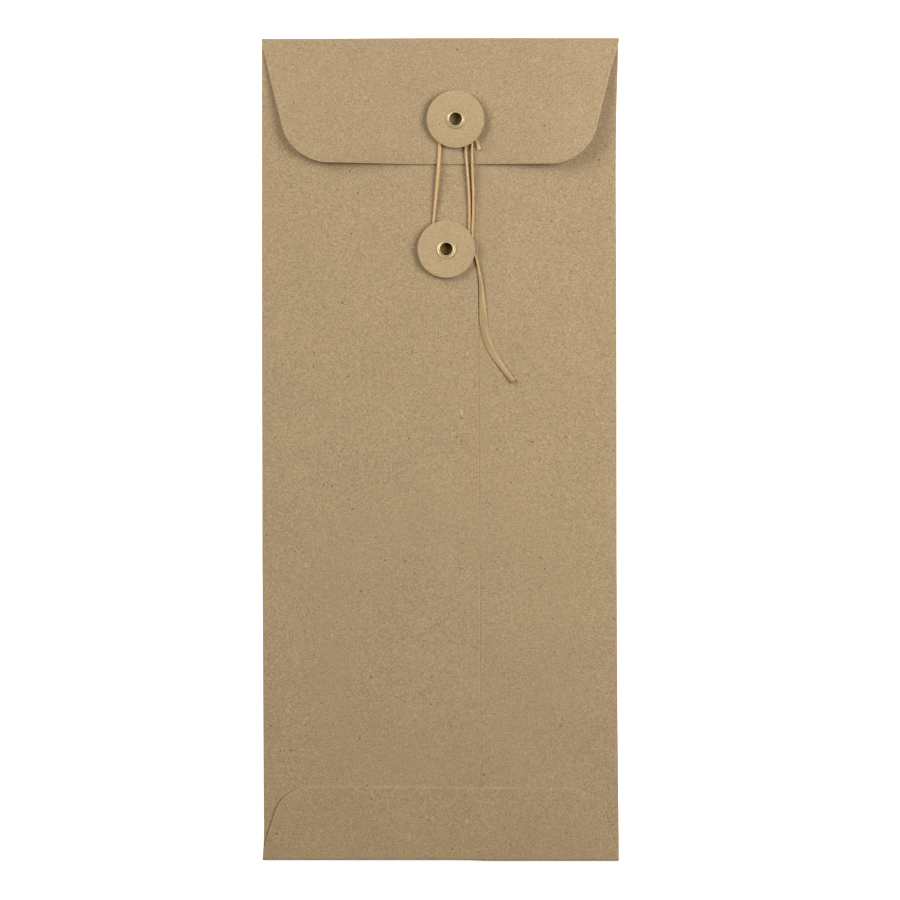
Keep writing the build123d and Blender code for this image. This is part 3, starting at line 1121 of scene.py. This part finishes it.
# The string's tied end: a loop drawn tight round the upper eyelet, its barrel knot, and a short
# cut end, crushed flat under the winding and frayed at its tip.
loop_reach = 2.72
loop_level = 2.45
loop_start = 55
loop_step = 25
loop_points = 11
loop_under = 0.1
knot_place = Vector((6.95, 93.45, 2.72))
knot_along = Vector((0.053, -0.998, 0))
knot_turns = 3
knot_steps = 8
knot_length = 1.35
knot_reach = 0.44
knot_strand = 0.00054
end_route = [(6.95, 93.45, 2.25), (9.15, 92.15, 2.22), (10.55, 90.75, 2.36), (11.45, 87.75, 2.46)]
end_width = 0.0011
end_wider = 0.25
end_height = 0.0005
end_tip_half = 0.45
eyelet_centre = Vector((upper.x, upper.y, 0)) * millimetres
to_knot = math.atan2(knot_place.y - eyelet_centre.y, knot_place.x - eyelet_centre.x)
loop_route = [tuple(knot_place)]
for step in range(loop_points):
    turn = to_knot + math.radians(loop_start + loop_step * step)
    side = eyelet_centre + loop_reach * Vector((math.cos(turn), math.sin(turn), 0))
    loop_route.append((side.x, side.y, loop_level))
loop_route.append((knot_place.x, knot_place.y, knot_place.z - loop_under))
knot_side = knot_along.cross(Vector((0, 0, 1)))
knot_route = []
for step in range(knot_turns * knot_steps + 1):
    turn = 2 * math.pi * step / knot_steps
    along = knot_length * (step / (knot_turns * knot_steps) - 0.5)
    out = knot_side * math.cos(turn) + Vector((0, 0, 1)) * math.sin(turn)
    knot_route.append(tuple(knot_place + knot_along * along + out * knot_reach))
shape = bmesh.new()
wrap(shape, followed("loop_route", loop_route), lambda share: string_width, lambda share: string_width)
wrap(shape, followed("knot_route", knot_route), lambda share: knot_strand, lambda share: knot_strand)
wrap(
    shape,
    followed("end_route", end_route),
    lambda share: end_width * (1 + end_wider * share),
    lambda share: end_height,
)
fray(shape, end_route, end_tip_half)
tied_end = string_piece("string_tied_end", shape)
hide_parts("string_anchor")
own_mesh(string)

# The floor: a plain white sheet, large enough that no view sees its end. It glows a little, as a light
# table does, so that it comes out as white as the ground of the photograph.
floor_colour = (0.9, 0.9, 0.9)
floor_glow = 0.75
floor_size = 30
floor_scale = 3
bpy.ops.object.select_all(action="DESELECT")
bpy.ops.mesh.primitive_plane_add(size=floor_size, location=(0, 0, 0))
floor = bpy.context.object
floor.name = "floor"
floor_paint, tree, shader = new_paint("white_floor", roughness=0.9, sheen=0.1)
tone = span(tree, grain(tree, spot(tree), floor_scale), 0, 1, 0.99, 1.01)
tree.links.new(shaded(tree, floor_colour, tone), shader.inputs["Base Color"])
shader.inputs["Emission Color"].default_value = (1, 1, 1, 1)
shader.inputs["Emission Strength"].default_value = floor_glow
floor.data.materials.append(floor_paint)

# The light: two soft boxes of a copy stand, a large one on the left beyond the flap and a small one on
# the right level with it, and a weak warm fill from all round.
fill = 0.1
fill_colour = (1, 0.74, 0.42)
lit_point = Vector((0, 0.02, 0))
for name, place, size, power in (
    ("left_box", (-0.469, 0.324, 0.421), 0.50, 4.35),
    ("right_box", (0.297, 0.105, 0.352), 0.30, 2.10),
):
    lamp = bpy.data.lights.new(name, "AREA")
    lamp.shape = "DISK"
    lamp.size = size
    lamp.energy = power
    holder = bpy.data.objects.new(name, lamp)
    holder.location = place
    holder.rotation_euler = (lit_point - Vector(place)).to_track_quat("-Z", "Y").to_euler()
    holder.visible_camera = False
    bpy.context.scene.collection.objects.link(holder)
world = bpy.data.worlds.new("studio")
world.use_nodes = True
sky = world.node_tree.nodes["Background"]
sky.inputs["Color"].default_value = (*fill_colour, 1)
sky.inputs["Strength"].default_value = fill
bpy.context.scene.world = world
bpy.context.scene.view_settings.view_transform = "Standard"

# The camera: straight above the envelope with a long lens, as on a copy stand, and framed as the
# photograph is.
view_centre = (0.00283, -0.000176)
view_width = 0.2637
lens = 200
sensor = 36
camera_data = bpy.data.cameras.new("camera")
camera_data.lens = lens
camera_data.sensor_width = sensor
camera = bpy.data.objects.new("camera", camera_data)
camera.location = (*view_centre, flap_high.z + view_width * lens / sensor)
bpy.context.scene.collection.objects.link(camera)
bpy.context.scene.camera = camera
